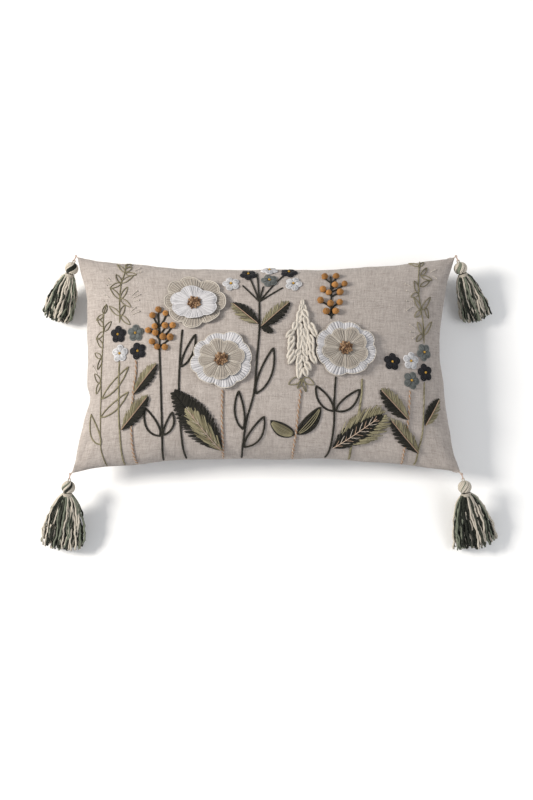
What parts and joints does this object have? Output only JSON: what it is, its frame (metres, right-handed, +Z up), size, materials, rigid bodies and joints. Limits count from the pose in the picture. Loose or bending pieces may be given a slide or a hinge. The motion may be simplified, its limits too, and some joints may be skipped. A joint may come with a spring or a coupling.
{
  "type": "throw pillow",
  "caption": "Rectangular lumbar throw pillow with floral embroidery and applique on the front, a zipped back and a swinging yarn tassel at each corner.",
  "frame": {"origin": "middle of the flat patch of the back that the pillow rests on, under the middle of the cover", "axes": "+X along the width, to the right as the front is seen; +Y towards the top edge; +Z up through the embroidered front"},
  "size_m": [0.7271, 0.4706, 0.1308],
  "materials": {
    "linen_front": "woven linen, slubby, unbleached pinkish beige",
    "linen_back": "woven linen, plain",
    "case_cotton": "plain cotton ticking",
    "fibre": "polyester hollow fibre",
    "zip_tape": "woven polyester tape",
    "zip_coil": "nylon monofilament coil",
    "zip_metal": "satin nickel",
    "hanging_thread": "twisted cotton thread",
    "thread_dark": "six-strand cotton, charcoal green",
    "thread_olive": "six-strand cotton, dull olive",
    "thread_cord": "two-ply cord, tan and white",
    "thread_cream": "thick cotton yarn, cream",
    "thread_amber": "cotton yarn, amber",
    "thread_tan": "cotton yarn, tan",
    "thread_gold": "cotton yarn, gold",
    "petal_taupe": "applique cloth with cream stitching",
    "petal_white": "applique cloth, satin-stitched",
    "felt_dark": "satin-stitched thread, slate",
    "felt_grey": "satin-stitched thread, grey green",
    "felt_white": "satin-stitched thread, white",
    "tassel_yarn": "cotton yarn, cream, sage and charcoal strands mixed",
    "tassel_wrap": "cotton yarn, cream wrapped"
  },
  "bodies": {
    "cushion": {"front_panel": "linen_front", "back_upper_panel": "linen_back", "back_lower_panel": "linen_back", "insert_front": "case_cotton", "insert_back": "case_cotton", "fibre_fill": "fibre", "zip_tape_upper": "zip_tape", "zip_tape_lower": "zip_tape", "zip_coil_upper": "zip_coil", "zip_coil_lower": "zip_coil", "zip_stop_left": "zip_metal", "zip_stop_right": "zip_metal", "corner_tacks": "hanging_thread", "dark_stems": "thread_dark", "olive_stems": "thread_olive", "cord_stems": "thread_cord", "outline_leaves_dark": "thread_dark", "outline_leaves_olive": "thread_olive", "leaf_halves_dark": "thread_dark", "leaf_halves_olive": "thread_olive", "leaf_veins": "thread_cream", "vine_left_outer": "thread_olive", "vine_left_inner": "thread_olive", "vine_right": "thread_olive", "poppy_left_base": "petal_taupe", "poppy_left_top": "petal_white", "poppy_left_knots": "thread_tan", "poppy_centre_base": "petal_white", "poppy_centre_top": "petal_taupe", "poppy_centre_knots": "thread_tan", "poppy_right_base": "petal_white", "poppy_right_top": "petal_taupe", "poppy_right_knots": "thread_tan", "dark_blossoms": "felt_dark", "grey_blossoms": "felt_grey", "white_blossoms": "felt_white", "blossom_centres": "thread_gold", "amber_buds_left": "thread_amber", "amber_buds_right": "thread_amber", "cream_spray": "thread_cream", "green_bow": "thread_olive", "pale_sprigs": "thread_cream"},
    "slider": {"zip_slider": "zip_metal"},
    "pull": {"zip_pull": "zip_metal"},
    "thread_top_left": {"loop_top_left": "hanging_thread"},
    "tassel_top_left": {"head_top_left": "tassel_wrap", "binding_top_left": "tassel_wrap", "skirt_top_left": "tassel_yarn"},
    "thread_top_right": {"loop_top_right": "hanging_thread"},
    "tassel_top_right": {"head_top_right": "tassel_wrap", "binding_top_right": "tassel_wrap", "skirt_top_right": "tassel_yarn"},
    "thread_bottom_left": {"loop_bottom_left": "hanging_thread"},
    "tassel_bottom_left": {"head_bottom_left": "tassel_wrap", "binding_bottom_left": "tassel_wrap", "skirt_bottom_left": "tassel_yarn"},
    "thread_bottom_right": {"loop_bottom_right": "hanging_thread"},
    "tassel_bottom_right": {"head_bottom_right": "tassel_wrap", "binding_bottom_right": "tassel_wrap", "skirt_bottom_right": "tassel_yarn"}
  },
  "joints": [
    {"name": "zip_slide", "type": "slide", "parent": "cushion", "child": "slider", "axis": [1, 0, 0], "range_m": [0, 0.3284]},
    {"name": "pull_flip", "type": "hinge", "parent": "slider", "child": "pull", "pos_m": [-0.1642, -0.06, 0.00135], "axis": [0, 1, 0], "range_deg": [0, 170]},
    {"name": "sway_top_left", "type": "hinge", "parent": "cushion", "child": "thread_top_left", "pos_m": [-0.30208, 0.17406, 0.05], "axis": [0, 0, -1], "range_deg": [-8, 80]},
    {"name": "hang_top_left", "type": "hinge", "parent": "thread_top_left", "child": "tassel_top_left", "pos_m": [-0.30471, 0.16703, 0.05], "axis": [-0.9367, 0.3502, 0], "range_deg": [-72, 90]},
    {"name": "sway_top_right", "type": "hinge", "parent": "cushion", "child": "thread_top_right", "pos_m": [0.30208, 0.17406, 0.05], "axis": [0, 0, 1], "range_deg": [-8, 80]},
    {"name": "hang_top_right", "type": "hinge", "parent": "thread_top_right", "child": "tassel_top_right", "pos_m": [0.30483, 0.16708, 0.05], "axis": [-0.9304, -0.3665, 0], "range_deg": [-72, 90]},
    {"name": "sway_bottom_left", "type": "hinge", "parent": "cushion", "child": "thread_bottom_left", "pos_m": [-0.30208, -0.17406, 0.05], "axis": [0, 0, -1], "range_deg": [-60, 80]},
    {"name": "hang_bottom_left", "type": "hinge", "parent": "thread_bottom_left", "child": "tassel_bottom_left", "pos_m": [-0.30319, -0.18148, 0.05], "axis": [-0.989, 0.1478, 0], "range_deg": [-72, 90]},
    {"name": "sway_bottom_right", "type": "hinge", "parent": "cushion", "child": "thread_bottom_right", "pos_m": [0.30208, -0.17406, 0.05], "axis": [0, 0, 1], "range_deg": [-60, 80]},
    {"name": "hang_bottom_right", "type": "hinge", "parent": "thread_bottom_right", "child": "tassel_bottom_right", "pos_m": [0.30377, -0.18137, 0.05], "axis": [-0.9744, -0.225, 0], "range_deg": [-72, 90]}
  ]
}
